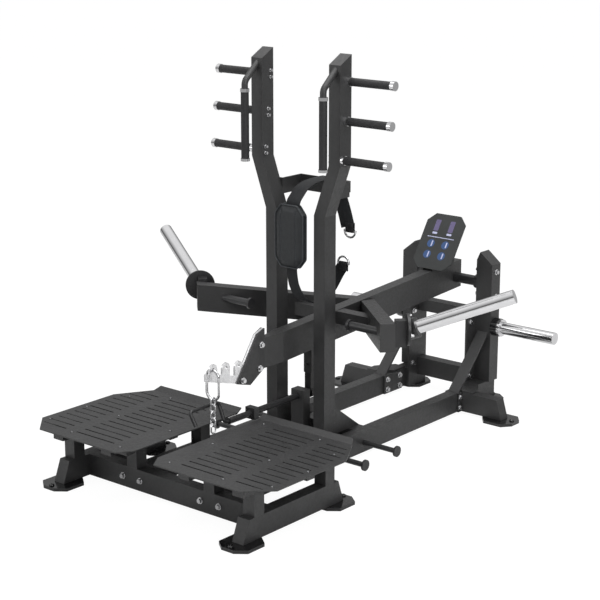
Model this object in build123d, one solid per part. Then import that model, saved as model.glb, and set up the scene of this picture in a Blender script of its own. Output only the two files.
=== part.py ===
from build123d import *
import math
import os

# Belt squat machine. X is the width, Y runs to the rear, Z is up, in millimetres.
# Heights count from the floor. Depths count from the front face of the uprights.

# Clearances
running_clearance = 0.05
seat_gap = 0.3
bearing_side_gap = 1.0

# Base frame
pad_thickness = 12.0
tube_width = 50.0
base_tube_height = 80.0
side_rail_inner_x = 410.0
long_rail_inner_x = 163.0
front_beam_front_y = -684.0
side_rail_front_top_y = -781.0
side_rail_front_bottom_y = -812.0
side_rail_rear_top_y = -311.0
side_rail_rear_bottom_y = -283.0
long_rail_rear_y = 832.0
stub_rear_y = 1048.0
splice_thickness = 8.0
inner_splice_front_y = 772.0
inner_splice_rear_y = 893.0
outer_splice_front_y = 775.0
outer_splice_rear_y = 869.0
foot_arm_front_y = 797.0
foot_arm_top_end_x = 388.0
foot_arm_bottom_end_x = 412.0
corner_plate_reach_x = 47.0
corner_plate_reach_y = 78.0

# Foot pads
pad_width = 130.0
pad_length = 142.0
pad_chamfer_x = 38.0
pad_chamfer_y = 30.0
front_pad_y = -792.0
middle_pad_y = -308.0
outer_rear_pad_x = 395.0
rear_pad_y = 1020.0

# Rear posts and braces
post_inner_x = 150.0
post_width = 76.0
post_front_y = 986.0
post_shoulder_inner_z = 605.0
post_peak_z = 639.0
post_shoulder_outer_z = 591.0
post_peak_offset = 16.0
post_plate_front_y = 925.0
post_plate_top_z = 395.0
cross_member_depth = 50.0
upper_member_z = 341.0
upper_member_height = 50.0
lower_member_z = 55.0
lower_member_height = 76.0
brace_front_y = 782.0
brace_top_z = 304.0
brace_thickness = 8.0

# Uprights
upright_width = 52.0
upright_depth = 64.0
upright_low_inner_x = 90.0
upright_high_inner_x = 158.0
upright_bend_low_z = 941.0
upright_bend_high_z = 1131.0
upright_front_top_z = 1495.0
upright_top_rise = 35.0
gusset_length = 150.0
gusset_height = 108.0

# Belt hanger between the uprights
hanger_bottom_z = 987.0
hanger_height = 60.0
hanger_thickness = 6.0
hanger_reach = 114.0
hanger_outer_x = 120.0
hanger_foot_length = 30.0
hanger_corner_x = 32.0
hanger_corner_z = 18.0

# Platforms
deck_top_z = 219.5
deck_thickness = 4.5
deck_inner_x = 54.0
deck_outer_x = 568.0
deck_front_y = -853.0
deck_outer_chamfer_x = 86.0
deck_outer_chamfer_y = 89.0
deck_inner_chamfer_x = 38.0
deck_inner_chamfer_y = 59.0
deck_side_end_y = -404.0
deck_rear_outer_x = 486.0
deck_bend_y = -268.0
lip_length = 23.0
lip_rise = 15.5
lip_outer_x = 471.0
slot_rows = 13
slot_pitch = 39.2
slot_width = 7.0
first_slot_y = -790.0
inner_slots_start_x = 162.0
inner_slots_length = 194.0
outer_slots_start_x = 410.0
outer_slots_length = 127.0
slot_edge_margin = 14.0
bearer_depth = 40.0
bearer_height = 20.0
bearer_inner_x = 84.0
front_bearer_y = -788.0
middle_bearer_y = -572.0
rear_bearer_y = -305.0
front_bearer_outer_x = 480.0
middle_bearer_outer_x = 550.0
rear_bearer_outer_x = 470.0
runner_front_y = -808.0
runner_rear_y = -285.0
runner_height = 20.0
outer_front_post_y = -756.0
outer_rear_post_y = -383.0
inner_rear_post_y = -350.0

# Grips and handles
bar_diameter = 24.0
grip_diameter = 30.0
collar_diameter = 34.0
collar_length = 12.0
cap_length = 16.0
side_grip_end_x = 418.0
top_grip_drop = 60.5
grip_pitch_z = 139.9
grips_per_side = 3
top_grip_y = 47.0
grip_pitch_y = 15.0
handle_x = 185.0
handle_reach = 65.0
handle_exit_drop = 23.0
handle_fall = 58.0
handle_collar_drop = 26.0
handle_length = 294.0
handle_cap_length = 10.0
handle_bend_radius = 30.0

# Pegs and storage horns
band_peg_diameter = 20.0
band_peg_disc_diameter = 42.0
band_peg_disc_thickness = 8.0
band_peg_end_x = 372.0
band_peg_z = 50.0
front_band_peg_y = -39.0
rear_band_peg_y = 155.0
sleeve_diameter = 50.0
storage_horn_y = 1017.0
storage_horn_z = 326.0
storage_collar_diameter = 75.0
storage_collar_length = 29.0
storage_flange_diameter = 72.0
storage_flange_length = 10.0
storage_horn_end_x = 516.0

# Pivot
pivot_y = 1017.0
pivot_z = 506.0
axle_diameter = 30.0
pivot_sleeve_diameter = 42.0
bearing_thickness = 18.0
bearing_hub_diameter = 60.0
bearing_bolt_spacing = 104.0
bearing_ear_diameter = 30.0

# Lever arm
arm_width = 50.0
arm_height = 115.0
arm_slope = 3.36
arm_top_y = 237.0
arm_top_z = 527.0
arm_rear_y = 1057.0
arm_taper_y = -97.0
arm_nose_y = -185.0
arm_nose_width = 20.0

# Wings of the lever
wing_thickness = 55.0
wing_height = 105.0
wing_sweep = 45.8
wing_root_y = 372.0
wing_end_x = 445.0
wing_root_top_z = 533.0
wing_end_top_z = 605.0
tie_front_y = 212.0
tie_bottom_z = 475.0
wing_peg_y = 22.0
wing_peg_z = 548.0
wing_peg_end_x = 238.0
wing_peg_diameter = 30.0
wing_peg_disc_diameter = 42.0
wing_peg_disc_thickness = 10.0

# Weight horns
horn_standoff = 41.0
horn_block_width = 50.0
horn_block_height = 70.0
horn_end_inset = 16.0
horn_height_offset = 28.0
horn_flange_diameter = 116.0
horn_flange_thickness = 10.0
horn_hub_diameter = 75.0
horn_hub_length = 34.0
horn_length = 400.0
horn_heading = 24.8
horn_tilt = 21.6

# Stop post and rest under the lever
stop_width = 38.0
stop_front_y = 74.0
stop_depth = 38.0
stop_bottom_z = 305.0
stop_pin_diameter = 12.0
stop_pin_length = 15.0
stop_pin_z = 339.0

# Hook bracket
hook_plate_thickness = 8.0
side_plate_thickness = 6.0
bracket_top_z = 539.0
bracket_bottom_z = 389.0
bracket_nose_y = -224.0
bracket_nose_z = 522.0
bracket_front_y = -336.0
bracket_front_z = 360.0
bracket_heel_y = -265.0
bracket_heel_z = 340.0
hook_plate_proud = 5.0
hook_count = 3
front_hook_y = -456.0
front_hook_z = 442.0
hook_pitch_y = 67.0
hook_drop_z = 9.0
hook_lobe_radius = 20.0
hook_hole_radius = 6.5
hook_bar_depth = 28.0
hook_bar_nose_y = -497.0
hook_bar_nose_z = 407.0
hook_bar_heel_y = -327.0
hook_bar_heel_z = 359.0
hook_bar_heel_step = 1.0

# Carabiner and chain
carabiner_wire = 10.0
carabiner_length = 112.0
carabiner_width = 58.0
gate_wire = 8.0
gate_length = 50.0
gate_drop = 42.0
chain_wire = 6.0
chain_pitch = 26.0
chain_width = 22.0
chain_links = 5

# Catch that holds the lever up
catch_z = 228.0
catch_front_y = -375.0
catch_shaft_diameter = 24.0
catch_handle_front_y = -546.0
catch_handle_rear_y = -396.0
catch_handle_rise = 72.0
catch_handle_end_rise = 24.0
catch_handle_side = 30.0
catch_handle_wire = 14.0
catch_block_y = -259.0
catch_block_size = 44.0
catch_block_length = 27.0
prop_front_y = 75.0
prop_depth = 35.0
prop_width = 30.0
prop_hub_diameter = 44.0
pedestal_width = 60.0
pedestal_thickness = 40.0
pedestal_cap = 24.0

# Display panel
panel_foot_y = 845.0
panel_lean = 33.4
panel_thickness = 6.0
panel_width = 190.0
panel_height = 245.0
panel_centre_x = 14.0
panel_corner = 34.0
panel_bottom_gap = 6.0
panel_bracket_rear_y = 1003.0
panel_bracket_knee_y = 971.0
panel_bracket_knee_z = 645.0
panel_bracket_rear_z = 584.0
panel_bracket_thickness = 6.0

# Belt pad, straps and rings
belt_pad_width = 140.0
belt_pad_bottom_z = 730.0
belt_pad_top_z = 969.0
belt_pad_y = -25.0
belt_pad_thickness = 34.0
belt_pad_corner_x = 36.0
belt_pad_corner_z = 60.0
strap_width = 60.0
strap_thickness = 6.0
strap_peak_y = 164.0
strap_turn_radius = 30.0
tail_start_z = 1010.0
tail_end_z = 862.0
tail_end_x = 116.0
low_strap_inner_x = 30.0
low_strap_width = 54.0
low_strap_bottom_z = 592.0
low_strap_front_y = 8.0
low_strap_back_y = 92.0
low_strap_rear_y = 143.0
low_strap_rise_z = 650.0
low_strap_end_z = 735.0
low_strap_turn_radius = 24.0
ring_wire = 8.0
ring_width = 52.0

# Bolts
bolt_diameter = 18.0
bolt_head_height = 8.0
washer_diameter = 24.0
washer_thickness = 2.5
small_bolt_diameter = 11.0
small_washer_diameter = 14.0
front_bolt_x = 147.0
front_bolt_pitch = 87.0
splice_bolt_inset_y = 18.0
splice_bolt_inset_z = 18.0
outer_bolt_inset_y = 10.0
post_plate_bolt_inset = 28.0
post_plate_low_bolt_z = 112.0
post_plate_high_bolt_z = 345.0
grip_bolt_offset = 12.0
hook_bolt_high_y = -204.0
hook_bolt_high_z = 480.0
hook_bolt_low_y = -213.0
hook_bolt_low_z = 392.0
hook_bolt_front_y = -306.0
hook_bolt_front_z = 367.0
flange_bolt_radius = 50.0
flange_bolt_turn = 70.0
flange_bolt_count = 3

# Derived places
base_z = pad_thickness
upright_back_top_z = upright_front_top_z + upright_top_rise
top_grip_z = upright_front_top_z - top_grip_drop
handle_exit_z = upright_front_top_z - handle_exit_drop
handle_bend_z = handle_exit_z - handle_fall
handle_collar_z = handle_bend_z - handle_collar_drop
handle_end_z = handle_bend_z - handle_length
base_top_z = base_z + base_tube_height
side_rail_outer_x = side_rail_inner_x + tube_width
long_rail_outer_x = long_rail_inner_x + tube_width
long_rail_mid_x = long_rail_inner_x + tube_width / 2
front_beam_rear_y = front_beam_front_y + tube_width
post_outer_x = post_inner_x + post_width
post_depth = stub_rear_y - post_front_y
plate_face_x = post_inner_x - splice_thickness
upright_low_outer_x = upright_low_inner_x + upright_width
upright_high_outer_x = upright_high_inner_x + upright_width
gusset_rear_y = upright_depth + gusset_length
deck_bottom_z = deck_top_z - deck_thickness
bearer_bottom_z = deck_bottom_z - bearer_height
runner_bottom_z = bearer_bottom_z - runner_height
slope_ratio = math.tan(math.radians(arm_slope))
arm_drop = arm_height / math.cos(math.radians(arm_slope))
axle_radius = axle_diameter / 2
sleeve_radius = sleeve_diameter / 2
row_middle_y = ((front_pad_y - pad_length / 2) + (rear_pad_y + pad_length / 2)) / 2


def span(x0, x1, y0, y1, z0, z1):
    place = Pos((x0 + x1) / 2, (y0 + y1) / 2, (z0 + z1) / 2)
    return place * Box(abs(x1 - x0), abs(y1 - y0), abs(z1 - z0))


def side_profile(x0, x1, *points):
    """A plate or tube drawn in the side view and extruded across the width."""
    face = make_face(Polyline(*[(x0, y, z) for y, z in points], close=True))
    return extrude(face, amount=x1 - x0, dir=(1, 0, 0))


def front_profile(y0, y1, *points):
    """A plate or tube drawn in the front view and extruded to the rear."""
    face = make_face(Polyline(*[(x, y0, z) for x, z in points], close=True))
    return extrude(face, amount=y1 - y0, dir=(0, 1, 0))


def top_profile(z0, z1, *points):
    """A plate drawn in plan and extruded upwards."""
    face = make_face(Polyline(*[(x, y, z0) for x, y in points], close=True))
    return extrude(face, amount=z1 - z0, dir=(0, 0, 1))


def round_x(x0, x1, y, z, diameter):
    return Pos((x0 + x1) / 2, y, z) * Rot(0, 90, 0) * Cylinder(diameter / 2, abs(x1 - x0))


def round_y(y0, y1, x, z, diameter):
    return Pos(x, (y0 + y1) / 2, z) * Rot(90, 0, 0) * Cylinder(diameter / 2, abs(y1 - y0))


def round_z(z0, z1, x, y, diameter):
    return Pos(x, y, (z0 + z1) / 2) * Cylinder(diameter / 2, abs(z1 - z0))


def mirrored(*shapes):
    return list(shapes) + [mirror(shape, about=Plane.YZ) for shape in shapes]


def bolt_head(x, y, z, direction, head_size=bolt_diameter, washer_size=washer_diameter):
    """A washer and a hexagonal head that stand on a face."""
    spot = Plane(origin=(x, y, z), z_dir=direction)
    washer = Pos(0, 0, washer_thickness / 2) * Cylinder(washer_size / 2, washer_thickness)
    hexagon = extrude(RegularPolygon(head_size / 2, 6), amount=bolt_head_height)
    return spot * (washer + Pos(0, 0, washer_thickness) * hexagon)


def octagon(x, y, width, length, cut_x, cut_y, z0, z1):
    half_w = width / 2
    half_l = length / 2
    return top_profile(
        z0,
        z1,
        (x - half_w + cut_x, y - half_l),
        (x + half_w - cut_x, y - half_l),
        (x + half_w, y - half_l + cut_y),
        (x + half_w, y + half_l - cut_y),
        (x + half_w - cut_x, y + half_l),
        (x - half_w + cut_x, y + half_l),
        (x - half_w, y + half_l - cut_y),
        (x - half_w, y - half_l + cut_y),
    )


def arm_top(y):
    return arm_top_z + (y - arm_top_y) * slope_ratio


def arm_bottom(y):
    return arm_top(y) - arm_drop


def save(name, *shapes):
    """Writes one piece or one set of like pieces, with depths from the row's middle."""
    solids = []
    for shape in shapes:
        for one in shape if isinstance(shape, (list, tuple)) else [shape]:
            solids += list(one.solids())
    moved = [Pos(0, -row_middle_y, 0) * solid for solid in solids]
    export_step(Compound(children=moved) if len(moved) > 1 else moved[0], f"parts/{name}.step")


os.makedirs("parts", exist_ok=True)

# Base frame tubes
front_beam = span(
    -side_rail_inner_x, side_rail_inner_x, front_beam_front_y, front_beam_rear_y, base_z, base_top_z
)
save("front_cross_beam", front_beam)

side_rail = side_profile(
    side_rail_inner_x,
    side_rail_outer_x,
    (side_rail_front_bottom_y, base_z),
    (side_rail_rear_bottom_y, base_z),
    (side_rail_rear_top_y, base_top_z),
    (side_rail_front_top_y, base_top_z),
)
save("side_rails", mirrored(side_rail))

long_rail = span(
    long_rail_inner_x, long_rail_outer_x, front_beam_rear_y, long_rail_rear_y, base_z, base_top_z
)
save("long_rails", mirrored(long_rail))

stub = span(long_rail_inner_x, long_rail_outer_x, long_rail_rear_y, stub_rear_y, base_z, base_top_z)
save("rear_stub_beams", mirrored(stub))

cross_front = span(-long_rail_inner_x, long_rail_inner_x, 0, upright_depth, base_z, base_top_z)
cross_rear = span(
    -long_rail_inner_x, long_rail_inner_x, gusset_rear_y - upright_depth, gusset_rear_y, base_z, base_top_z
)
save("base_cross_tubes", cross_front, cross_rear)

inner_splice = span(
    long_rail_inner_x - splice_thickness,
    long_rail_inner_x,
    inner_splice_front_y,
    inner_splice_rear_y,
    base_z,
    base_top_z,
)
outer_splice = span(
    long_rail_outer_x,
    long_rail_outer_x + splice_thickness,
    outer_splice_front_y,
    outer_splice_rear_y,
    base_z,
    base_top_z,
)
foot_arm_rear_y = foot_arm_front_y + tube_width
foot_arm_root_x = long_rail_outer_x + splice_thickness
corner_plate = top_profile(
    base_top_z,
    base_top_z + splice_thickness,
    (long_rail_inner_x, foot_arm_rear_y),
    (foot_arm_root_x, foot_arm_front_y),
    (foot_arm_root_x + corner_plate_reach_x, foot_arm_front_y),
    (foot_arm_root_x + corner_plate_reach_x, foot_arm_rear_y),
    (long_rail_outer_x, foot_arm_rear_y + corner_plate_reach_y),
    (long_rail_inner_x, foot_arm_rear_y + corner_plate_reach_y),
)
save("splice_plates", mirrored(inner_splice, outer_splice, corner_plate))

foot_arm = front_profile(
    foot_arm_front_y,
    foot_arm_rear_y,
    (foot_arm_root_x, base_z),
    (foot_arm_bottom_end_x, base_z),
    (foot_arm_top_end_x, base_top_z),
    (foot_arm_root_x, base_top_z),
)
save("rear_foot_arms", mirrored(foot_arm))

side_rail_mid_x = side_rail_inner_x + tube_width / 2
foot_arm_mid_y = foot_arm_front_y + tube_width / 2
lengthwise_pad = (pad_width, pad_length, pad_chamfer_x, pad_chamfer_y)
crosswise_pad = (pad_length, pad_width, pad_chamfer_y, pad_chamfer_x)
pads = [
    octagon(side_rail_mid_x, front_pad_y, *lengthwise_pad, 0, pad_thickness),
    octagon(side_rail_mid_x, middle_pad_y, *lengthwise_pad, 0, pad_thickness),
    octagon(outer_rear_pad_x, foot_arm_mid_y, *crosswise_pad, 0, pad_thickness),
    octagon(long_rail_mid_x, rear_pad_y, *lengthwise_pad, 0, pad_thickness),
]
save("foot_pads", mirrored(*pads))

# Rear posts, their plates, cross members and braces
rear_post = front_profile(
    post_front_y,
    stub_rear_y,
    (post_inner_x, base_top_z),
    (post_outer_x, base_top_z),
    (post_outer_x, post_shoulder_outer_z),
    (post_inner_x + post_peak_offset, post_peak_z),
    (post_inner_x, post_shoulder_inner_z),
)
save("rear_posts", mirrored(rear_post))

post_plate = span(plate_face_x, post_inner_x, post_plate_front_y, stub_rear_y, base_z, post_plate_top_z)
plate_filler = span(post_inner_x, long_rail_inner_x, post_plate_front_y, stub_rear_y, base_z, base_top_z)
save("post_side_plates", mirrored(post_plate + plate_filler))

member_rear_y = post_front_y + cross_member_depth
upper_member = span(
    -plate_face_x,
    plate_face_x,
    post_front_y,
    member_rear_y,
    upper_member_z,
    upper_member_z + upper_member_height,
)
lower_member = span(
    -plate_face_x,
    plate_face_x,
    post_front_y,
    member_rear_y,
    lower_member_z,
    lower_member_z + lower_member_height,
)
save("rear_cross_members", upper_member, lower_member)

brace_run = post_front_y - brace_front_y
brace_rise = brace_top_z - base_top_z
brace_slant = math.hypot(brace_run, brace_rise)
brace = side_profile(
    long_rail_inner_x,
    long_rail_outer_x,
    (brace_front_y, base_top_z),
    (brace_front_y + brace_thickness * brace_slant / brace_rise, base_top_z),
    (post_front_y, brace_top_z - brace_thickness * brace_slant / brace_run),
    (post_front_y, brace_top_z),
)
save("rear_braces", mirrored(brace))

# Uprights with their outward bend and slanted tops
upright = front_profile(
    0,
    upright_depth,
    (upright_low_inner_x, base_top_z),
    (upright_low_inner_x, upright_bend_low_z),
    (upright_high_inner_x, upright_bend_high_z),
    (upright_high_inner_x, upright_back_top_z),
    (upright_high_outer_x, upright_back_top_z),
    (upright_high_outer_x, upright_bend_high_z),
    (upright_low_outer_x, upright_bend_low_z),
    (upright_low_outer_x, base_top_z),
)
upright_top_cut = side_profile(
    upright_high_inner_x,
    upright_high_outer_x,
    (0, upright_front_top_z),
    (upright_depth, upright_back_top_z),
    (0, upright_back_top_z),
)
upright = upright - upright_top_cut
save("right_upright", upright)
save("left_upright", mirror(upright, about=Plane.YZ))

gusset = side_profile(
    upright_low_inner_x,
    upright_low_outer_x,
    (upright_depth, base_top_z),
    (gusset_rear_y, base_top_z),
    (upright_depth, base_top_z + gusset_height),
)
save("upright_gussets", mirrored(gusset))

# Belt hanger: a flat bar bent to a U, with feet on the backs of the uprights
hanger_inner_x = hanger_outer_x - hanger_thickness
hanger_rear_y = upright_depth + hanger_reach
hanger_top_z = hanger_bottom_z + hanger_height
hanger_bar = front_profile(
    hanger_rear_y - hanger_thickness,
    hanger_rear_y,
    (-hanger_outer_x, hanger_bottom_z + hanger_corner_z),
    (-hanger_outer_x + hanger_corner_x, hanger_bottom_z),
    (hanger_outer_x - hanger_corner_x, hanger_bottom_z),
    (hanger_outer_x, hanger_bottom_z + hanger_corner_z),
    (hanger_outer_x, hanger_top_z),
    (-hanger_outer_x, hanger_top_z),
)
hanger_arm = span(
    hanger_inner_x,
    hanger_outer_x,
    upright_depth,
    hanger_rear_y - hanger_thickness,
    hanger_bottom_z,
    hanger_top_z,
)
hanger_foot = span(
    hanger_outer_x,
    hanger_outer_x + hanger_foot_length,
    upright_depth,
    upright_depth + hanger_thickness,
    hanger_bottom_z,
    hanger_top_z,
)
hanger = hanger_bar
for piece in mirrored(hanger_arm, hanger_foot):
    hanger = hanger + piece
save("belt_hanger", hanger)

# Platform posts, runners, bearers and decks
def platform_post(x, y):
    return span(x, x + tube_width, y, y + tube_width, base_top_z, runner_bottom_z)


posts = [
    platform_post(side_rail_inner_x, outer_front_post_y),
    platform_post(side_rail_inner_x, outer_rear_post_y),
    platform_post(long_rail_inner_x, front_beam_front_y),
    platform_post(long_rail_inner_x, inner_rear_post_y),
]
save("platform_posts", mirrored(*posts))


def runner(x):
    return span(x, x + tube_width, runner_front_y, runner_rear_y, runner_bottom_z, bearer_bottom_z)


def bearer(y, outer_x):
    half = bearer_depth / 2
    return span(bearer_inner_x, outer_x, y - half, y + half, bearer_bottom_z, deck_bottom_z)


runners = [runner(side_rail_inner_x), runner(long_rail_inner_x)]
bearers = [
    bearer(front_bearer_y, front_bearer_outer_x),
    bearer(middle_bearer_y, middle_bearer_outer_x),
    bearer(rear_bearer_y, rear_bearer_outer_x),
]
save("platform_bearers", mirrored(*bearers, *runners))


def deck_edge(y):
    """How far out the deck reaches at one depth."""
    if y < deck_front_y + deck_outer_chamfer_y:
        share = (y - deck_front_y) / deck_outer_chamfer_y
        return deck_outer_x - deck_outer_chamfer_x * (1 - share)
    if y > deck_side_end_y:
        share = (y - deck_side_end_y) / (deck_bend_y - deck_side_end_y)
        return deck_outer_x - (deck_outer_x - deck_rear_outer_x) * share
    return deck_outer_x


deck = top_profile(
    deck_bottom_z,
    deck_top_z,
    (deck_inner_x, deck_bend_y),
    (deck_inner_x, deck_front_y + deck_inner_chamfer_y),
    (deck_inner_x + deck_inner_chamfer_x, deck_front_y),
    (deck_outer_x - deck_outer_chamfer_x, deck_front_y),
    (deck_outer_x, deck_front_y + deck_outer_chamfer_y),
    (deck_outer_x, deck_side_end_y),
    (deck_rear_outer_x, deck_bend_y),
)
lip = side_profile(
    deck_inner_x,
    deck_rear_outer_x,
    (deck_bend_y, deck_bottom_z),
    (deck_bend_y + lip_length, deck_bottom_z + lip_rise),
    (deck_bend_y + lip_length, deck_top_z + lip_rise),
    (deck_bend_y, deck_top_z),
)
lip_cut = top_profile(
    deck_bottom_z,
    deck_top_z + lip_rise,
    (deck_rear_outer_x, deck_bend_y),
    (deck_rear_outer_x, deck_bend_y + lip_length),
    (lip_outer_x, deck_bend_y + lip_length),
)
deck = deck + (lip - lip_cut)


def slot(x0, x1, y):
    cutter = SlotOverall(x1 - x0, slot_width)
    return Pos((x0 + x1) / 2, y, deck_bottom_z) * extrude(cutter, amount=deck_thickness)


slots = []
for row in range(slot_rows):
    slot_y = first_slot_y + row * slot_pitch
    outer_end = min(outer_slots_start_x + outer_slots_length, deck_edge(slot_y) - slot_edge_margin)
    slots.append(slot(inner_slots_start_x, inner_slots_start_x + inner_slots_length, slot_y))
    slots.append(slot(outer_slots_start_x, outer_end, slot_y))
deck = deck - slots
save("right_platform", deck)
save("left_platform", mirror(deck, about=Plane.YZ))

# Side grips on the uprights and front handles
bars = []
rubbers = []
collars = []
caps = []
for step in range(grips_per_side):
    grip_y = top_grip_y - step * grip_pitch_y
    grip_z = top_grip_z - step * grip_pitch_z
    root_x = upright_high_outer_x
    rubber_start = root_x + collar_length
    rubber_end = side_grip_end_x - cap_length
    bars.append(round_x(root_x, rubber_end, grip_y, grip_z, bar_diameter))
    ring = round_x(root_x, rubber_start, grip_y, grip_z, collar_diameter)
    collars.append(ring - round_x(root_x, rubber_start, grip_y, grip_z, bar_diameter))
    sleeve = round_x(rubber_start, rubber_end, grip_y, grip_z, grip_diameter)
    rubbers.append(sleeve - round_x(rubber_start, rubber_end, grip_y, grip_z, bar_diameter))
    caps.append(round_x(rubber_end, side_grip_end_x, grip_y, grip_z, collar_diameter))
save("side_grip_bars", mirrored(*bars))

handle_slope = (handle_exit_z - handle_bend_z) / handle_reach
handle_line = FilletPolyline(
    (handle_x, upright_depth / 2, handle_exit_z + handle_slope * upright_depth / 2),
    (handle_x, -handle_reach, handle_bend_z),
    (handle_x, -handle_reach, handle_end_z + handle_cap_length),
    radius=handle_bend_radius,
)
handle_section = Plane(origin=handle_line @ 0, z_dir=handle_line % 0) * Circle(bar_diameter / 2)
handle_bar = sweep(handle_section, path=handle_line)
handle_bar = handle_bar - span(0, side_grip_end_x, 0, upright_depth, handle_bend_z, upright_back_top_z)
save("front_handle_bars", mirrored(handle_bar))

handle_rubber_end_z = handle_end_z + handle_cap_length
handle_collar_bottom_z = handle_collar_z - collar_length
handle_core = round_z(handle_rubber_end_z, handle_collar_z, handle_x, -handle_reach, bar_diameter)
handle_rubber = round_z(handle_rubber_end_z, handle_collar_bottom_z, handle_x, -handle_reach, grip_diameter)
handle_collar = round_z(handle_collar_bottom_z, handle_collar_z, handle_x, -handle_reach, collar_diameter)
rubbers.append(handle_rubber - handle_core)
collars.append(handle_collar - handle_core)
caps.append(round_z(handle_end_z, handle_rubber_end_z, handle_x, -handle_reach, collar_diameter))
save("grip_rubbers", mirrored(*rubbers))
save("grip_collars", mirrored(*collars))
save("grip_caps", mirrored(*caps))

# Weight storage horns on the rear posts
collar_end_x = post_outer_x + storage_collar_length
flange_end_x = collar_end_x + storage_flange_length
storage_collar = round_x(post_outer_x, collar_end_x, storage_horn_y, storage_horn_z, storage_collar_diameter)
storage_flange = round_x(collar_end_x, flange_end_x, storage_horn_y, storage_horn_z, storage_flange_diameter)
storage_sleeve = round_x(flange_end_x, storage_horn_end_x, storage_horn_y, storage_horn_z, sleeve_diameter)
save("storage_collars", mirrored(storage_collar))
save("storage_horns", mirrored(storage_flange + storage_sleeve))

# Band pegs on the long rails
disc_start_x = band_peg_end_x - band_peg_disc_thickness
pegs = []
for peg_y in (front_band_peg_y, rear_band_peg_y):
    shaft = round_x(long_rail_outer_x, disc_start_x, peg_y, band_peg_z, band_peg_diameter)
    disc = round_x(disc_start_x, band_peg_end_x, peg_y, band_peg_z, band_peg_disc_diameter)
    pegs.append(shaft + disc)
save("band_pegs", mirrored(*pegs))

# Pivot axle and flange bearings
axle = round_x(-post_inner_x, post_inner_x, pivot_y, pivot_z, axle_diameter)
save("pivot_axle", axle)

bearing_face_x = post_inner_x - bearing_thickness
ear_start_x = post_inner_x - bearing_thickness / 2
bearing_hub = round_x(bearing_face_x, post_inner_x, pivot_y, pivot_z, bearing_hub_diameter)
ear_half = bearing_bolt_spacing / 2
ear_low = round_x(ear_start_x, post_inner_x, pivot_y, pivot_z - ear_half, bearing_ear_diameter)
ear_high = round_x(ear_start_x, post_inner_x, pivot_y, pivot_z + ear_half, bearing_ear_diameter)
ear_web = span(
    ear_start_x,
    post_inner_x,
    pivot_y - bearing_ear_diameter / 2,
    pivot_y + bearing_ear_diameter / 2,
    pivot_z - ear_half,
    pivot_z + ear_half,
)
bearing_bore = round_x(bearing_face_x, post_inner_x, pivot_y, pivot_z, axle_diameter)
bearing = bearing_hub + ear_low + ear_high + ear_web - bearing_bore
save("pivot_bearings", mirrored(bearing))

# Lever arm with its tapered nose
arm_side = side_profile(
    -arm_width / 2,
    arm_width / 2,
    (arm_nose_y, arm_bottom(arm_nose_y)),
    (arm_rear_y, arm_bottom(arm_rear_y)),
    (arm_rear_y, arm_top(arm_rear_y)),
    (arm_nose_y, arm_top(arm_nose_y)),
)
arm_plan = top_profile(
    0,
    upright_back_top_z,
    (-arm_nose_width / 2, arm_nose_y),
    (arm_nose_width / 2, arm_nose_y),
    (arm_width / 2, arm_taper_y),
    (arm_width / 2, arm_rear_y),
    (-arm_width / 2, arm_rear_y),
    (-arm_width / 2, arm_taper_y),
)
arm_bore = round_x(-arm_width, arm_width, pivot_y, pivot_z, pivot_sleeve_diameter)
save("lever_arm", (arm_side & arm_plan) - arm_bore)

sleeve_end_x = bearing_face_x - bearing_side_gap
pivot_sleeve = round_x(-sleeve_end_x, sleeve_end_x, pivot_y, pivot_z, pivot_sleeve_diameter)
sleeve_bore = round_x(
    -post_inner_x, post_inner_x, pivot_y, pivot_z, axle_diameter + 2 * running_clearance
)
save("pivot_sleeve", pivot_sleeve - sleeve_bore)

# Wings: swept tubes that carry the weight horns
sweep_cos = math.cos(math.radians(wing_sweep))
sweep_sin = math.sin(math.radians(wing_sweep))
wing_root_x = arm_width / 2
wing_plan_length = (wing_end_x - wing_root_x) / sweep_cos
wing_end_y = wing_root_y - wing_plan_length * sweep_sin
wing_run = Vector(sweep_cos, -sweep_sin, 0)
wing_back = Vector(sweep_sin, sweep_cos, 0)
wing_pitch = (wing_end_top_z - wing_root_top_z) / wing_plan_length


def wing_top(distance):
    return wing_root_top_z + distance * wing_pitch


def wing_point(distance, back, z):
    root = Vector(wing_root_x, wing_root_y, 0)
    spot = root + wing_run * distance + wing_back * back
    return (spot.X, spot.Y, z)


root_reach = wing_thickness * sweep_sin / sweep_cos + wing_thickness
wing_face = make_face(
    Polyline(
        wing_point(-root_reach, 0, wing_top(-root_reach) - wing_height),
        wing_point(wing_plan_length, 0, wing_top(wing_plan_length) - wing_height),
        wing_point(wing_plan_length, 0, wing_top(wing_plan_length)),
        wing_point(-root_reach, 0, wing_top(-root_reach)),
        close=True,
    )
)
wing_tube = extrude(wing_face, amount=wing_thickness, dir=wing_back)
wing_tube = wing_tube - span(-wing_end_x, wing_root_x, -arm_rear_y, arm_rear_y * 2, 0, upright_back_top_z)
tie_rear_y = tie_front_y + tube_width
tie_bar = span(wing_root_x, wing_end_x, tie_front_y, tie_rear_y, tie_bottom_z, tie_bottom_z + tube_width)
beyond_wing = extrude(
    make_face(
        Polyline(
            wing_point(-root_reach, 0, 0),
            wing_point(wing_plan_length * 2, 0, 0),
            wing_point(wing_plan_length * 2, 0, upright_back_top_z),
            wing_point(-root_reach, 0, upright_back_top_z),
            close=True,
        )
    ),
    amount=wing_end_x * 2,
    dir=wing_back,
)
tie_bar = tie_bar - beyond_wing
peg_disc_x = wing_peg_end_x + wing_peg_disc_thickness
wing_peg = round_x(peg_disc_x, wing_end_x, wing_peg_y, wing_peg_z, wing_peg_diameter)
wing_peg = wing_peg + round_x(wing_peg_end_x, peg_disc_x, wing_peg_y, wing_peg_z, wing_peg_disc_diameter)
wing_peg = wing_peg - beyond_wing
save("lever_wings", mirrored(wing_tube, tie_bar))
save("wing_pegs", mirrored(wing_peg))

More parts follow.
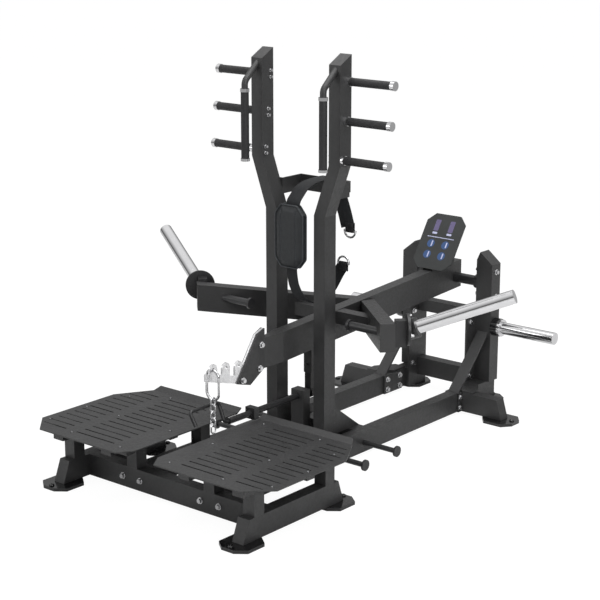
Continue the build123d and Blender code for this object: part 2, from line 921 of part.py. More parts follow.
# Weight horns on flanges behind the wing ends
block_middle = wing_plan_length - horn_end_inset
block_low_z = wing_top(block_middle) - wing_height / 2 + horn_height_offset - horn_block_height / 2
block_face = make_face(
    Polyline(
        wing_point(block_middle - horn_block_width / 2, wing_thickness, block_low_z - horn_height_offset),
        wing_point(
            block_middle + horn_block_width / 2 - horn_end_inset,
            wing_thickness,
            block_low_z - horn_height_offset,
        ),
        wing_point(
            block_middle + horn_block_width / 2 - horn_end_inset,
            wing_thickness,
            block_low_z + horn_block_height,
        ),
        wing_point(block_middle - horn_block_width / 2, wing_thickness, block_low_z + horn_block_height),
        close=True,
    )
)
horn_block = extrude(block_face, amount=horn_standoff, dir=wing_back)
flange_z = wing_top(block_middle) - wing_height / 2 + horn_height_offset
flange_centre = wing_point(block_middle, wing_thickness + horn_standoff, flange_z)
flange_plane = Plane(origin=flange_centre, z_dir=wing_back)
flange_disc = flange_plane * Pos(0, 0, horn_flange_thickness / 2) * Cylinder(
    horn_flange_diameter / 2, horn_flange_thickness
)
horn_direction = Vector(
    math.cos(math.radians(horn_tilt)) * math.cos(math.radians(horn_heading)),
    math.cos(math.radians(horn_tilt)) * math.sin(math.radians(horn_heading)),
    math.sin(math.radians(horn_tilt)),
)
horn_start = wing_point(block_middle, wing_thickness + horn_standoff + horn_flange_thickness, flange_z)
horn_plane = Plane(origin=horn_start, z_dir=horn_direction)
in_front = flange_plane * Pos(0, 0, horn_flange_thickness - horn_length) * Box(
    horn_length * 2, horn_length * 2, horn_length * 2
)
hub_back = horn_hub_diameter
hub = horn_plane * Pos(0, 0, (horn_hub_length - hub_back) / 2) * Cylinder(
    horn_hub_diameter / 2, horn_hub_length + hub_back
)
hub = hub - in_front
horn = horn_plane * Pos(0, 0, (horn_length + horn_hub_length) / 2) * Cylinder(
    sleeve_radius, horn_length - horn_hub_length
)
save("horn_flanges", mirrored(horn_block, flange_disc + hub))
save("weight_horns", mirrored(horn))

# Stop post under the lever arm
stop_rear_y = stop_front_y + stop_depth
stop_post = side_profile(
    -stop_width / 2,
    stop_width / 2,
    (stop_front_y, stop_bottom_z),
    (stop_rear_y, stop_bottom_z),
    (stop_rear_y, arm_bottom(stop_rear_y)),
    (stop_front_y, arm_bottom(stop_front_y)),
)
stop_pin = round_y(stop_front_y - stop_pin_length, stop_front_y, 0, stop_pin_z, stop_pin_diameter)
save("stop_post", stop_post + stop_pin)

# Hook bracket: two side plates and the hook plate between them
half_plate = hook_plate_thickness / 2
side_plate_x = half_plate + side_plate_thickness
bracket_points = [
    (arm_nose_y, bracket_bottom_z),
    (arm_nose_y, bracket_top_z),
    (bracket_nose_y, bracket_nose_z),
    (bracket_front_y, bracket_front_z),
    (bracket_heel_y, bracket_heel_z),
]
side_plate = side_profile(half_plate, side_plate_x, *bracket_points)
slant = math.hypot(bracket_nose_y - bracket_front_y, bracket_nose_z - bracket_front_z)
proud_y = -hook_plate_proud * (bracket_nose_z - bracket_front_z) / slant
proud_z = hook_plate_proud * (bracket_nose_y - bracket_front_y) / slant
core = side_profile(
    -half_plate,
    half_plate,
    (arm_nose_y, bracket_bottom_z),
    (arm_nose_y, bracket_top_z),
    (bracket_nose_y + proud_y, bracket_nose_z + proud_z),
    (bracket_front_y + proud_y, bracket_front_z + proud_z),
    (hook_bar_heel_y, hook_bar_heel_z),
    (bracket_heel_y, bracket_heel_z),
)
bar_ratio = (hook_bar_nose_z - hook_bar_heel_z) / (hook_bar_nose_y - hook_bar_heel_y)
hook_bar = side_profile(
    -half_plate,
    half_plate,
    (hook_bar_nose_y, hook_bar_nose_z),
    (hook_bar_nose_y, hook_bar_nose_z + hook_bar_depth),
    (bracket_heel_y, hook_bar_heel_z + (bracket_heel_y - hook_bar_heel_y) * bar_ratio + hook_bar_depth),
    (bracket_heel_y, hook_bar_heel_z + (bracket_heel_y - hook_bar_heel_y) * bar_ratio + hook_bar_heel_step),
    (hook_bar_heel_y, hook_bar_heel_z),
)
hook_plate = core + hook_bar
holes = []
for step in range(hook_count):
    hook_y = front_hook_y + step * hook_pitch_y
    hook_z = front_hook_z - step * hook_drop_z
    lobe = round_x(-half_plate, half_plate, hook_y, hook_z, 2 * hook_lobe_radius)
    neck_z = hook_bar_heel_z + (hook_y - hook_bar_heel_y) * bar_ratio + hook_bar_depth / 2
    neck = span(
        -half_plate, half_plate, hook_y - hook_lobe_radius, hook_y + hook_lobe_radius, neck_z, hook_z
    )
    hook_plate = hook_plate + lobe + neck
    holes.append(round_x(-arm_width, arm_width, hook_y, hook_z, 2 * hook_hole_radius))
hook_plate = hook_plate - holes
save("hook_side_plates", mirrored(side_plate))
save("hook_plate", hook_plate)

# Display panel on its leaning bracket
lean = math.radians(panel_lean)
panel_up = Vector(0, math.sin(lean), math.cos(lean))
panel_out = Vector(0, -math.cos(lean), math.sin(lean))
panel_foot = Vector(0, panel_foot_y, arm_top(panel_foot_y) + panel_bottom_gap)


def panel_point(x, up, out=0.0):
    spot = panel_foot + panel_up * up + panel_out * out
    return (x, spot.Y, spot.Z)


panel_left = panel_centre_x - panel_width / 2
panel_right = panel_centre_x + panel_width / 2
panel_face = make_face(
    Polyline(
        panel_point(panel_left + panel_corner, 0),
        panel_point(panel_right - panel_corner, 0),
        panel_point(panel_right, panel_corner),
        panel_point(panel_right, panel_height - panel_corner),
        panel_point(panel_right - panel_corner, panel_height),
        panel_point(panel_left + panel_corner, panel_height),
        panel_point(panel_left, panel_height - panel_corner),
        panel_point(panel_left, panel_corner),
        close=True,
    )
)
panel = extrude(panel_face, amount=panel_thickness, dir=panel_out)
save("display_panel", panel)

bracket_half = arm_width / 2
panel_back_foot = panel_point(0, 0)
panel_back_top = panel_point(0, panel_height / 2)
arm_line_y = panel_foot_y + panel_bracket_thickness
panel_rib = side_profile(
    bracket_half - panel_bracket_thickness,
    bracket_half,
    (arm_line_y, arm_top(arm_line_y)),
    (panel_back_foot[1], panel_back_foot[2]),
    (panel_back_top[1], panel_back_top[2]),
    (panel_bracket_knee_y, panel_bracket_knee_z),
    (panel_bracket_rear_y, panel_bracket_rear_z),
    (panel_bracket_rear_y, arm_top(panel_bracket_rear_y)),
)
save("panel_bracket", mirrored(panel_rib))

# Catch: pedestals, shaft, rest and handle
def pedestal(y_middle):
    half = pedestal_thickness / 2
    body = span(
        -pedestal_width / 2,
        pedestal_width / 2,
        y_middle - half,
        y_middle + half,
        base_top_z,
        catch_z + pedestal_cap,
    )
    bore = round_y(
        y_middle - half, y_middle + half, 0, catch_z, catch_shaft_diameter + 2 * running_clearance
    )
    return body - bore


front_pedestal_y = upright_depth / 2
rear_pedestal_y = gusset_rear_y - upright_depth / 2
save("catch_pedestals", pedestal(front_pedestal_y), pedestal(rear_pedestal_y))

shaft_rear_y = rear_pedestal_y + pedestal_thickness / 2
shaft = round_y(catch_front_y, shaft_rear_y, 0, catch_z, catch_shaft_diameter)

prop_radius = stop_bottom_z - seat_gap - catch_z
prop_rear_y = prop_front_y + prop_depth
prop_hub = round_y(prop_front_y, prop_rear_y, 0, catch_z, prop_hub_diameter)
prop_column = span(
    -prop_width / 2, prop_width / 2, prop_front_y, prop_rear_y, catch_z, catch_z + 2 * prop_radius
)
prop_limit = round_y(prop_front_y, prop_rear_y, 0, catch_z, 2 * prop_radius)
prop_bore = round_y(prop_front_y, prop_rear_y, 0, catch_z, catch_shaft_diameter)
save("catch_prop", prop_hub + (prop_column & prop_limit) - prop_bore)

grip_z = catch_z + catch_handle_rise
half_block = catch_block_size / 2
block = span(
    -half_block,
    half_block,
    catch_block_y,
    catch_block_y + catch_block_length,
    catch_z - half_block,
    catch_z + half_block,
)
block = block - round_y(catch_block_y, catch_block_y + catch_block_length, 0, catch_z, catch_shaft_diameter)
save("catch_shaft", shaft, block)

handle_path = FilletPolyline(
    (0, catch_front_y, catch_z),
    (0, catch_handle_rear_y, catch_z),
    (-catch_handle_side, catch_handle_rear_y, grip_z),
    (-catch_handle_side, catch_handle_front_y, grip_z),
    (0, catch_handle_front_y, catch_z + catch_handle_end_rise),
    radius=catch_handle_wire,
)
handle_round = Plane(origin=handle_path @ 0, z_dir=handle_path % 0) * Circle(catch_handle_wire / 2)
save("catch_handle", sweep(handle_round, path=handle_path))

# Carabiner, its sprung gate and the chain
def loop_path(length, width, at_top, across):
    """A closed oval of straight sides and half-round ends, hung from its inner top."""
    radius = width / 2
    straight = length - width
    side = Vector(1, 0, 0) if across else Vector(0, 1, 0)
    down = Vector(0, 0, -1)
    top_mid = at_top
    left_high = top_mid + down * radius - side * radius
    right_high = top_mid + down * radius + side * radius
    left_low = left_high + down * straight
    right_low = right_high + down * straight
    bottom_mid = top_mid + down * length
    return Wire(
        [
            ThreePointArc(left_high, top_mid, right_high),
            Line(right_high, right_low),
            ThreePointArc(right_low, bottom_mid, left_low),
            Line(left_low, left_high),
        ]
    )


def loop(length, width, wire, at_top, across):
    path = loop_path(length, width, at_top, across)
    section = Plane(origin=path @ 0, z_dir=path % 0) * Circle(wire / 2)
    return sweep(section, path=path)


carabiner_top = Vector(0, front_hook_y, front_hook_z - hook_hole_radius + carabiner_wire / 2 + 2 * seat_gap)
carabiner_body = loop(carabiner_length, carabiner_width, carabiner_wire, carabiner_top, True)
gate_x = carabiner_width / 2
gate_top_z = carabiner_top.Z - gate_drop
gate_window = span(
    gate_x - carabiner_wire,
    gate_x + carabiner_wire,
    front_hook_y - carabiner_wire,
    front_hook_y + carabiner_wire,
    gate_top_z - gate_length,
    gate_top_z,
)
save("carabiner", carabiner_body - gate_window)
gate_pivot_z = gate_top_z - gate_length + seat_gap + gate_wire / 2
gate = round_z(gate_pivot_z, gate_top_z - seat_gap, gate_x, front_hook_y, gate_wire)
gate = gate + Pos(gate_x, front_hook_y, gate_pivot_z) * Sphere(gate_wire / 2)
save("carabiner_gate", gate)

link_length = chain_pitch + chain_wire
link_top = carabiner_top - Vector(0, 0, carabiner_length - carabiner_wire / 2 - chain_wire / 2 - seat_gap)
for number in range(chain_links):
    across = number % 2 == 1
    piece = loop(link_length - seat_gap, chain_width, chain_wire, link_top, across)
    save(f"chain_link_{number + 1}", piece)
    link_top = link_top - Vector(0, 0, link_length - seat_gap - chain_wire - seat_gap)

# Belt pad, straps and rings
belt_pad = front_profile(
    belt_pad_y - belt_pad_thickness / 2,
    belt_pad_y + belt_pad_thickness / 2,
    (-belt_pad_width / 2 + belt_pad_corner_x, belt_pad_bottom_z),
    (belt_pad_width / 2 - belt_pad_corner_x, belt_pad_bottom_z),
    (belt_pad_width / 2, belt_pad_bottom_z + belt_pad_corner_z),
    (belt_pad_width / 2, belt_pad_top_z - belt_pad_corner_z),
    (belt_pad_width / 2 - belt_pad_corner_x, belt_pad_top_z),
    (-belt_pad_width / 2 + belt_pad_corner_x, belt_pad_top_z),
    (-belt_pad_width / 2, belt_pad_top_z - belt_pad_corner_z),
    (-belt_pad_width / 2, belt_pad_bottom_z + belt_pad_corner_z),
)
save("belt_pad", belt_pad)



def strap_sweep(line, width):
    section = Plane(origin=line @ 0, x_dir=(1, 0, 0), z_dir=line % 0) * Rectangle(width, strap_thickness)
    return sweep(section, path=line)


strap_half = strap_thickness / 2
over_bar_z = hanger_top_z + strap_half + seat_gap
behind_bar_y = hanger_rear_y + strap_half + seat_gap
top_line = FilletPolyline(
    (0, belt_pad_y, belt_pad_top_z + seat_gap),
    (0, strap_peak_y, over_bar_z),
    (0, behind_bar_y, over_bar_z),
    (0, behind_bar_y, tail_start_z),
    radius=[strap_turn_radius, strap_half + seat_gap],
)
top_strap = strap_sweep(top_line, strap_width)
top_strap = top_strap - span(
    -strap_width,
    strap_width,
    belt_pad_y - strap_width,
    belt_pad_y + strap_width,
    belt_pad_bottom_z,
    belt_pad_top_z + seat_gap,
)
tail = front_profile(
    behind_bar_y - strap_half,
    behind_bar_y + strap_half,
    (-strap_width / 2, tail_start_z),
    (tail_end_x - strap_width / 2, tail_end_z),
    (tail_end_x + strap_width / 2, tail_end_z),
    (strap_width / 2, tail_start_z),
)
save("belt_top_strap", top_strap + tail)

low_mid_x = low_strap_inner_x + low_strap_width / 2
low_line = FilletPolyline(
    (low_mid_x, belt_pad_y, belt_pad_bottom_z + belt_pad_corner_z),
    (low_mid_x, belt_pad_y, (belt_pad_bottom_z + low_strap_bottom_z) / 2),
    (low_mid_x, low_strap_front_y, low_strap_bottom_z),
    (low_mid_x, low_strap_back_y, low_strap_bottom_z),
    (low_mid_x, low_strap_rear_y, low_strap_rise_z - strap_thickness),
    (low_mid_x, low_strap_rear_y, low_strap_rise_z),
    radius=[low_strap_turn_radius, low_strap_turn_radius, low_strap_turn_radius, strap_half + seat_gap],
)
low_strap = strap_sweep(low_line, low_strap_width)
pad_room = front_profile(
    belt_pad_y - belt_pad_thickness,
    belt_pad_y + belt_pad_thickness,
    (-belt_pad_width / 2, belt_pad_bottom_z - seat_gap),
    (belt_pad_width / 2 - belt_pad_corner_x, belt_pad_bottom_z - seat_gap),
    (belt_pad_width / 2 + seat_gap, belt_pad_bottom_z + belt_pad_corner_z - seat_gap),
    (belt_pad_width / 2 + seat_gap, belt_pad_top_z),
    (-belt_pad_width / 2, belt_pad_top_z),
)
low_strap = low_strap - pad_room
low_tail = front_profile(
    low_strap_rear_y - strap_half,
    low_strap_rear_y + strap_half,
    (low_strap_inner_x, low_strap_rise_z),
    (tail_end_x - low_strap_width / 2, low_strap_end_z),
    (tail_end_x + low_strap_width / 2, low_strap_end_z),
    (low_strap_inner_x + low_strap_width, low_strap_rise_z),
)
save("belt_low_strap", low_strap + low_tail)

top_ring_start = Vector(tail_end_x, behind_bar_y, tail_end_z - ring_wire / 2 - seat_gap)
low_ring_start = Vector(tail_end_x, low_strap_rear_y, low_strap_end_z + ring_wire / 2 + seat_gap)


def d_ring(start, fall):
    """A straight bar at the strap closed by a half-round bow."""
    half = ring_width / 2
    left = start - Vector(half, 0, 0)
    right = start + Vector(half, 0, 0)
    bow = start + Vector(0, 0, fall * half)
    bar = round_x(left.X, right.X, start.Y, start.Z, ring_wire)
    arc = ThreePointArc(right, bow, left)
    section = Plane(origin=arc @ 0, z_dir=arc % 0) * Circle(ring_wire / 2)
    ends = Pos(left.X, left.Y, left.Z) * Sphere(ring_wire / 2)
    other = Pos(right.X, right.Y, right.Z) * Sphere(ring_wire / 2)
    return bar + sweep(section, path=arc) + ends + other


save("top_ring", d_ring(top_ring_start, -1))
save("low_ring", d_ring(low_ring_start, 1))

# Bolts of the frame
left_way = (-1, 0, 0)
right_way = (1, 0, 0)
front_way = (0, -1, 0)
beam_mid_z = (base_z + base_top_z) / 2
bolts = [
    bolt_head(front_bolt_x, front_beam_front_y, beam_mid_z, front_way),
    bolt_head(front_bolt_x + front_bolt_pitch, front_beam_front_y, beam_mid_z, front_way),
]
inner_plate_x = long_rail_inner_x - splice_thickness
for bolt_y in (inner_splice_front_y + splice_bolt_inset_y, inner_splice_rear_y - splice_bolt_inset_y):
    for bolt_z in (base_z + splice_bolt_inset_z, base_top_z - splice_bolt_inset_z):
        bolts.append(bolt_head(inner_plate_x, bolt_y, bolt_z, left_way))
for bolt_y in (outer_splice_front_y + outer_bolt_inset_y, outer_splice_rear_y - outer_bolt_inset_y):
    for bolt_z in (base_z + splice_bolt_inset_z, base_top_z - splice_bolt_inset_z):
        bolts.append(bolt_head(foot_arm_root_x, bolt_y, bolt_z, right_way))
plate_bolt_y = post_plate_front_y + post_plate_bolt_inset
for bolt_z in (post_plate_low_bolt_z, post_plate_high_bolt_z):
    bolts.append(bolt_head(plate_face_x, plate_bolt_y, bolt_z, left_way))
    bolts.append(bolt_head(post_inner_x, plate_bolt_y, bolt_z, right_way))
for bolt_z in (pivot_z - ear_half, pivot_z + ear_half):
    bolts.append(bolt_head(ear_start_x, pivot_y, bolt_z, left_way))
    bolts.append(bolt_head(post_outer_x, pivot_y, bolt_z, right_way))
save("frame_bolts", mirrored(*bolts))

grip_bolts = []
for step in range(grips_per_side):
    for offset in (-grip_bolt_offset, grip_bolt_offset):
        grip_bolts.append(
            bolt_head(
                upright_high_inner_x,
                top_grip_y - step * grip_pitch_y,
                top_grip_z - step * grip_pitch_z + offset,
                left_way,
                small_bolt_diameter,
                small_washer_diameter,
            )
        )
save("grip_bolts", mirrored(*grip_bolts))

# Bolts of the lever
lever_bolts = [
    bolt_head(side_plate_x, hook_bolt_high_y, hook_bolt_high_z, right_way),
    bolt_head(side_plate_x, hook_bolt_low_y, hook_bolt_low_z, right_way),
    bolt_head(side_plate_x, hook_bolt_front_y, hook_bolt_front_z, right_way),
]
for turn in range(flange_bolt_count):
    angle = math.radians(flange_bolt_turn) + turn * math.tau / flange_bolt_count
    along = flange_bolt_radius * math.cos(angle)
    rise = flange_bolt_radius * math.sin(angle)
    spot = Vector(*flange_centre) - wing_run * along + Vector(0, 0, rise)
    spot = spot + wing_back * horn_flange_thickness
    lever_bolts.append(
        bolt_head(
            spot.X,
            spot.Y,
            spot.Z,
            (wing_back.X, wing_back.Y, 0),
            small_bolt_diameter,
            small_washer_diameter,
        )
    )
save("lever_bolts", mirrored(*lever_bolts))
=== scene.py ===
import math

import bmesh
import bpy
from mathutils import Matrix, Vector
from mathutils.bvhtree import BVHTree


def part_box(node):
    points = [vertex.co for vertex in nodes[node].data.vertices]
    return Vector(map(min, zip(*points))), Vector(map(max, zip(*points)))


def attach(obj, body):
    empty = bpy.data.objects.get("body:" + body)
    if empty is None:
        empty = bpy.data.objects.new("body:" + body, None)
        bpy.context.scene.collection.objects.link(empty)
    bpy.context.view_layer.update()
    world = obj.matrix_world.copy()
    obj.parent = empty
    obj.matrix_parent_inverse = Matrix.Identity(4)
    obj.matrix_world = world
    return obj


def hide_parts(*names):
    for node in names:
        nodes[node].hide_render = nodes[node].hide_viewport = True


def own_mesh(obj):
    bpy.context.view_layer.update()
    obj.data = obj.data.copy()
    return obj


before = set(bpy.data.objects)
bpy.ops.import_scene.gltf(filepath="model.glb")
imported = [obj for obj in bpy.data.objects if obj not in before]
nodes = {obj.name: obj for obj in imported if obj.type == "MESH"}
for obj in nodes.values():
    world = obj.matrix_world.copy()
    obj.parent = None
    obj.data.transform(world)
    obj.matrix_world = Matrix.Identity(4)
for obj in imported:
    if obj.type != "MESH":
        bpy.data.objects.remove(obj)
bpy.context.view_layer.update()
scene = bpy.context.scene

# Depth of the uprights' front face in the frame
FACE_DEPTH = -0.114
UP = Vector((0, 0, 1))
FLAT_X = Vector((1, 0, 0))
BACKWARD = Vector((0, 1, 0))


def spot(x, y, z):
    """A place given in millimetres from the uprights' front face and the floor."""
    return Vector((x / 1000, y / 1000 + FACE_DEPTH, z / 1000))


# Materials
SLOW_DETAIL = 4.0
WEAR_DETAIL = 5.0
WEAR_SCALE = 6
FINE_DETAIL = 2.0
GRAIN_DEPTH = 0.0006
BEVEL_SAMPLES = 4

# Direction, scale and distortion of the two waves of the weave
WEAVE = (("Z", 170.0, 1.5), ("X", 120.0, 1.0))
WEAVE_DEPTH = 0.0008
WEAVE_BUMP = 0.5
WEAVE_DARK = 0.7
WEAVE_LIGHT = 1.35
WEB_ROUGHNESS = 0.8


def new_material(name):
    made = bpy.data.materials.new(name)
    made.use_nodes = True
    tree = made.node_tree
    shader = tree.nodes["Principled BSDF"]
    coords = tree.nodes.new("ShaderNodeTexCoord")
    return made, tree, shader, coords


def noise(tree, coords, scale, detail, stretch=None):
    made = tree.nodes.new("ShaderNodeTexNoise")
    made.inputs["Scale"].default_value = scale
    made.inputs["Detail"].default_value = detail
    if stretch:
        mapping = tree.nodes.new("ShaderNodeMapping")
        mapping.inputs["Scale"].default_value = stretch
        tree.links.new(coords.outputs["Object"], mapping.inputs["Vector"])
        tree.links.new(mapping.outputs["Vector"], made.inputs["Vector"])
    else:
        tree.links.new(coords.outputs["Object"], made.inputs["Vector"])
    return made


def ramp(tree, source, low, high, start=0.35, end=0.65):
    """A blend from one colour to another between two values of the source."""
    made = tree.nodes.new("ShaderNodeValToRGB")
    made.color_ramp.elements[0].position = start
    made.color_ramp.elements[1].position = end
    made.color_ramp.elements[0].color = (*low, 1.0)
    made.color_ramp.elements[1].color = (*high, 1.0)
    tree.links.new(source, made.inputs["Fac"])
    return made


def relief(tree, height, strength, distance):
    made = tree.nodes.new("ShaderNodeBump")
    made.inputs["Strength"].default_value = strength
    made.inputs["Distance"].default_value = distance
    tree.links.new(height, made.inputs["Height"])
    return made


def scaled(color, factor):
    return tuple(min(1.0, part * factor) for part in color)


def surface(name, color, rough, metallic=0.0, vary=0.12, patch=14.0, grain=0.0, grain_scale=900.0,
            rough_vary=0.08, edge=0.0, coat=0.0, stretch=None):
    """A finish with slow colour change, fine grain, uneven gloss and softened edges."""
    made, tree, shader, coords = new_material(name)
    slow = noise(tree, coords, patch, SLOW_DETAIL)
    tint = ramp(tree, slow.outputs["Fac"], scaled(color, 1 - vary), scaled(color, 1 + vary))
    tree.links.new(tint.outputs["Color"], shader.inputs["Base Color"])
    shader.inputs["Metallic"].default_value = metallic
    shader.inputs["Coat Weight"].default_value = coat
    wear = noise(tree, coords, patch * WEAR_SCALE, WEAR_DETAIL, stretch)
    gloss = ramp(tree, wear.outputs["Fac"], (rough - rough_vary,) * 3, (rough + rough_vary,) * 3)
    tree.links.new(gloss.outputs["Color"], shader.inputs["Roughness"])
    last = None
    if edge:
        bevel = tree.nodes.new("ShaderNodeBevel")
        bevel.samples = BEVEL_SAMPLES
        bevel.inputs["Radius"].default_value = edge
        last = bevel.outputs["Normal"]
    if grain:
        fine = noise(tree, coords, grain_scale, FINE_DETAIL, stretch)
        grained = relief(tree, fine.outputs["Fac"], grain, GRAIN_DEPTH)
        if last:
            tree.links.new(last, grained.inputs["Normal"])
        last = grained.outputs["Normal"]
    if last:
        tree.links.new(last, shader.inputs["Normal"])
    return made


def webbing(name, color):
    """Flat woven strap with fine ribs across and a twill along."""
    made, tree, shader, coords = new_material(name)
    weave = tree.nodes.new("ShaderNodeMath")
    weave.operation = "MULTIPLY"
    for index, (direction, scale, distortion) in enumerate(WEAVE):
        wave = tree.nodes.new("ShaderNodeTexWave")
        wave.bands_direction = direction
        wave.inputs["Scale"].default_value = scale
        wave.inputs["Distortion"].default_value = distortion
        tree.links.new(coords.outputs["Object"], wave.inputs["Vector"])
        tree.links.new(wave.outputs["Fac"], weave.inputs[index])
    tint = ramp(tree, weave.outputs[0], scaled(color, WEAVE_DARK), scaled(color, WEAVE_LIGHT), 0.1, 0.7)
    tree.links.new(tint.outputs["Color"], shader.inputs["Base Color"])
    shader.inputs["Roughness"].default_value = WEB_ROUGHNESS
    woven = relief(tree, weave.outputs[0], WEAVE_BUMP, WEAVE_DEPTH)
    tree.links.new(woven.outputs["Normal"], shader.inputs["Normal"])
    return made


COAT = surface("powder_coat", (0.031, 0.031, 0.0315), 0.44, grain=0.35, grain_scale=1100.0,
               edge=0.0016, vary=0.08)
BLACK = surface("satin_black", (0.018, 0.018, 0.019), 0.38, grain=0.2, edge=0.001)
PLATE = surface("bracket_black", (0.03, 0.03, 0.031), 0.42, grain=0.3, edge=0.001)
CHROME = surface("chrome", (0.72, 0.72, 0.73), 0.08, metallic=1.0, vary=0.03, rough_vary=0.04, patch=25.0)
BOLT = surface("bolt_chrome", (0.62, 0.62, 0.63), 0.18, metallic=1.0, vary=0.05, rough_vary=0.06,
               edge=0.0008)
STEEL = surface("bright_steel", (0.78, 0.78, 0.79), 0.32, metallic=1.0, vary=0.08, grain=0.15,
                grain_scale=500.0, stretch=(1.0, 6.0, 1.0), edge=0.0008)
RUBBER = surface("grip_rubber", (0.014, 0.014, 0.015), 0.62, grain=0.5, grain_scale=420.0)
GLOSS = surface("black_gloss", (0.006, 0.006, 0.0065), 0.18, rough_vary=0.05, edge=0.0015, coat=0.3)
COVER = surface("pad_cover", (0.0125, 0.0145, 0.0165), 0.5, grain=0.6, grain_scale=520.0, vary=0.1)
PIPING = surface("pad_piping", (0.03, 0.034, 0.038), 0.48, grain=0.4, grain_scale=700.0)
THREAD = surface("pad_thread", (0.06, 0.066, 0.075), 0.7, grain=0.4, grain_scale=1500.0)
STRAP = webbing("strap_navy", (0.007, 0.008, 0.0098))
STRAP_BLACK = webbing("strap_black", (0.008, 0.008, 0.009))
SCREW = surface("deck_screw", (0.16, 0.16, 0.165), 0.35, metallic=1.0, vary=0.05)
PANEL = surface("panel_dark", (0.022, 0.024, 0.024), 0.4, rough_vary=0.04, edge=0.001)
PRINT_LIGHT = surface("print_lilac", (0.12, 0.1, 0.2), 0.35, vary=0.04)
PRINT_BLUE = surface("print_blue", (0.03, 0.075, 0.2), 0.35, vary=0.06)
PRINT_PALE = surface("print_pale", (0.5, 0.52, 0.72), 0.35, vary=0.03)

FINISHES = (
    (CHROME, ["grip_collars", "grip_caps", "storage_horns", "weight_horns", "side_grip_bars", "pivot_axle"]),
    (BOLT, ["frame_bolts", "grip_bolts", "lever_bolts", "carabiner", "carabiner_gate", "top_ring",
            "low_ring"]),
    (STEEL, ["hook_plate"] + [f"chain_link_{number}" for number in range(1, 6)]),
    (BLACK, ["horn_flanges", "catch_shaft", "catch_prop", "catch_handle", "pivot_bearings", "pivot_sleeve",
             "band_pegs", "wing_pegs"]),
    (PLATE, ["hook_side_plates"]),
    (RUBBER, ["grip_rubbers"]),
    (GLOSS, ["foot_pads", "storage_collars"]),
    (PANEL, ["display_panel"]),
)
finish = {name: COAT for name in nodes}
for material, names in FINISHES:
    for name in names:
        finish[name] = material
for name, node in nodes.items():
    node.data.materials.clear()
    node.data.materials.append(finish[name])


# Mesh helpers
def mesh_object(name, verts, faces, materials, smooth=True, face_materials=None):
    data = bpy.data.meshes.new(name)
    data.from_pydata([tuple(v) for v in verts], [], faces)
    for one in materials:
        data.materials.append(one)
    for index, polygon in enumerate(data.polygons):
        polygon.use_smooth = smooth
        if face_materials:
            polygon.material_index = face_materials[index]
    data.update()
    made = bpy.data.objects.new(name, data)
    scene.collection.objects.link(made)
    return made


def ring_faces(rings, count, start=0, closed=False):
    """Faces that join rings of count points, with a cap at either end unless the row closes."""
    faces = []
    for i in range(rings if closed else rings - 1):
        here = start + i * count
        there = start + (i + 1) % rings * count
        for j in range(count):
            k = (j + 1) % count
            faces.append((here + j, here + k, there + k, there + j))
    if not closed:
        last = start + (rings - 1) * count
        faces.append(tuple(start + j for j in reversed(range(count))))
        faces.append(tuple(last + j for j in range(count)))
    return faces


def smooth_line(points, steps=8):
    """A smooth line through given points."""
    line = []
    padded = [points[0]] + points + [points[-1]]
    for i in range(1, len(padded) - 2):
        a, b, c, d = padded[i - 1], padded[i], padded[i + 1], padded[i + 2]
        for k in range(steps):
            t = k / steps
            line.append(
                0.5 * ((2 * b) + (c - a) * t + (2 * a - 5 * b + 4 * c - d) * t * t
                       + (3 * b - a - 3 * c + d) * t * t * t)
            )
    line.append(points[-1])
    return line


def ribbon(name, points, sides, width, thickness, material, steps=8):
    """A flat strap with rounded edges; sides gives its width direction at each point."""
    line = smooth_line(points, steps)
    across = smooth_line(sides, steps)
    half = width / 2
    thick = thickness / 2
    outline = [(-half, 0), (-half + thick, thick), (0, thick), (half - thick, thick),
               (half, 0), (half - thick, -thick), (0, -thick), (-half + thick, -thick)]
    verts = []
    for i, point in enumerate(line):
        before = line[max(0, i - 1)]
        after = line[min(len(line) - 1, i + 1)]
        run = (after - before).normalized()
        side = across[i]
        side = (side - run * side.dot(run)).normalized()
        normal = run.cross(side)
        for u, v in outline:
            verts.append(point + side * u + normal * v)
    return mesh_object(name, verts, ring_faces(len(line), len(outline)), [material])


def closed_tube(name, points, radius, material, sides):
    """A round tube along a closed line."""
    verts = []
    total = len(points)
    for i, point in enumerate(points):
        run = (points[(i + 1) % total] - points[i - 1]).normalized()
        first = run.orthogonal() if abs(run.y) > 0.99 else run.cross(BACKWARD)
        first.normalize()
        second = run.cross(first)
        for k in range(sides):
            turn = 2 * math.pi * k / sides
            verts.append(point + first * math.cos(turn) * radius + second * math.sin(turn) * radius)
    return mesh_object(name, verts, ring_faces(total, sides, closed=True), [material])


# Screws: each ring of a head as a share of its radius and of its height
HEAD_RINGS = ((1.0, 0.0), (1.0, 0.35), (0.85, 0.75), (0.55, 0.97), (0.38, 1.0), (0.34, 0.6))
HEAD_SIDES = 12
DECK_TOP = 219.5
DECK_SCREW_PLACES = ((537, -755), (366, -804), (120, -804), (537, -572), (366, -572), (104, -572),
                     (500, -386), (366, -300), (104, -300))
PAD_TOP = 12
PAD_SCREW_PLACES = ((435, -848), (435, -252), (188, 1076), (448, 822))


def both_sides(places, height):
    return [spot(side * x, y, height) for side in (1, -1) for x, y in places]


def dome_heads(name, places, radius, height, material):
    """Round domed screw heads with a recess, all in one piece."""
    verts, faces = [], []
    first = UP.orthogonal().normalized()
    second = UP.cross(first)
    for place in places:
        faces += ring_faces(len(HEAD_RINGS), HEAD_SIDES, len(verts))
        for share, rise in HEAD_RINGS:
            for k in range(HEAD_SIDES):
                turn = 2 * math.pi * k / HEAD_SIDES
                verts.append(place + first * math.cos(turn) * radius * share
                             + second * math.sin(turn) * radius * share + UP * height * rise)
    made = mesh_object(name, verts, faces, [material])
    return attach(made, "frame")


